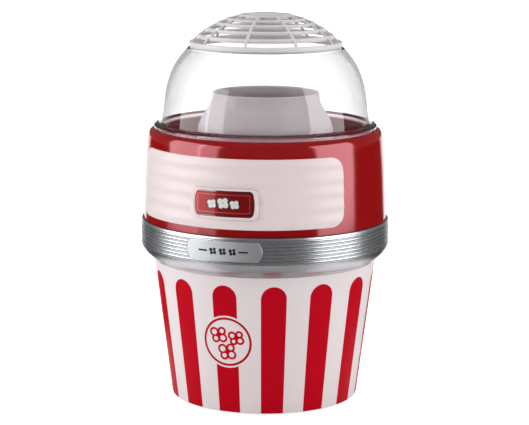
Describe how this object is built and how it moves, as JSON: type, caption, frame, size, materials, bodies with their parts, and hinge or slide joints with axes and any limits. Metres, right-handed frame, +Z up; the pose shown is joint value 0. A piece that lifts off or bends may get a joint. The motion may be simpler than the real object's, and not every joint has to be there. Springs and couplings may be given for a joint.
{
  "type": "popcorn maker",
  "caption": "Hot-air popcorn maker with a striped bucket base, lift-off red bowl with a chimney, clear dome cover, vent grille, fan, heater and rocker switch.",
  "frame": {"origin": "middle of the footprint, on the surface that the feet stand on", "axes": "+Z up along the axis of the bucket, the front with the nameplate faces -Y"},
  "size_m": [0.24, 0.24, 0.3734],
  "materials": {
    "bucket_plastic": "white plastic with printed red stripes",
    "red_plastic": "deep red, polished",
    "cream_plastic": "warm white, satin",
    "grey_plastic": "warm light grey, fine satin",
    "clear_plastic": "clear, polished",
    "satin_silver": "satin silver",
    "frame_metal": "dark, bright polished",
    "red_metal": "brushed, translucent red",
    "deck_plastic": "white, fine texture",
    "black_plastic": "black, fine texture",
    "rocker_plastic": "red, polished",
    "rubber_feet": "matte black",
    "chamber_metal": "drawn, lightly brushed",
    "sheet_steel": "galvanised",
    "screw_steel": "bright zinc",
    "coil_wire": "oxidised resistance wire",
    "mica_sheet": "flaky mica sheet",
    "circuit_board": "bare phenolic board"
  },
  "bodies": {
    "base": {"base_bucket": "bucket_plastic", "bottom_cover": "black_plastic", "trim_band": "satin_silver", "band_plaque": "satin_silver", "top_deck": "deck_plastic", "popping_chamber": "chamber_metal", "air_duct": "sheet_steel", "motor_bracket": "sheet_steel", "fan_motor": "sheet_steel", "heater_former": "mica_sheet", "rectifier_board": "circuit_board", "heater_coil_1": "coil_wire", "heater_coil_2": "coil_wire", "foot_1": "rubber_feet", "foot_2": "rubber_feet", "foot_3": "rubber_feet", "foot_4": "rubber_feet", "cover_screw_1": "screw_steel", "cover_screw_2": "screw_steel", "cover_screw_3": "screw_steel", "cover_screw_4": "screw_steel", "bracket_screw_1": "screw_steel", "bracket_screw_2": "screw_steel", "bracket_screw_3": "screw_steel", "thermostat": "black_plastic", "thermal_fuse": "coil_wire", "switch_housing": "black_plastic", "cord_inlet": "rubber_feet"},
    "rocker": {"switch_rocker": "rocker_plastic"},
    "fan": {"motor_shaft": "screw_steel", "fan_impeller": "black_plastic"},
    "bowl": {"bowl_shell": "red_plastic", "chimney": "grey_plastic", "fascia_panel": "cream_plastic", "nameplate_surround": "cream_plastic", "nameplate_bezel": "frame_metal", "nameplate_insert": "red_metal"},
    "dome": {"dome_cover": "clear_plastic", "vent_grille": "grey_plastic"}
  },
  "joints": [
    {"name": "bowl_lift", "type": "slide", "parent": "base", "child": "bowl", "axis": [0, 0, 1], "range_m": [0, 0.12]},
    {"name": "dome_lift", "type": "slide", "parent": "bowl", "child": "dome", "axis": [0, 0, 1], "range_m": [0, 0.12]},
    {"name": "fan_spin", "type": "hinge", "parent": "base", "child": "fan", "pos_m": [0, 0, 0.05], "axis": [0, 0, 1], "continuous": true},
    {"name": "switch_rock", "type": "hinge", "parent": "base", "child": "rocker", "pos_m": [0, 0.09933, 0.06996], "axis": [1, 0, 0], "range_deg": [0, 16]}
  ]
}
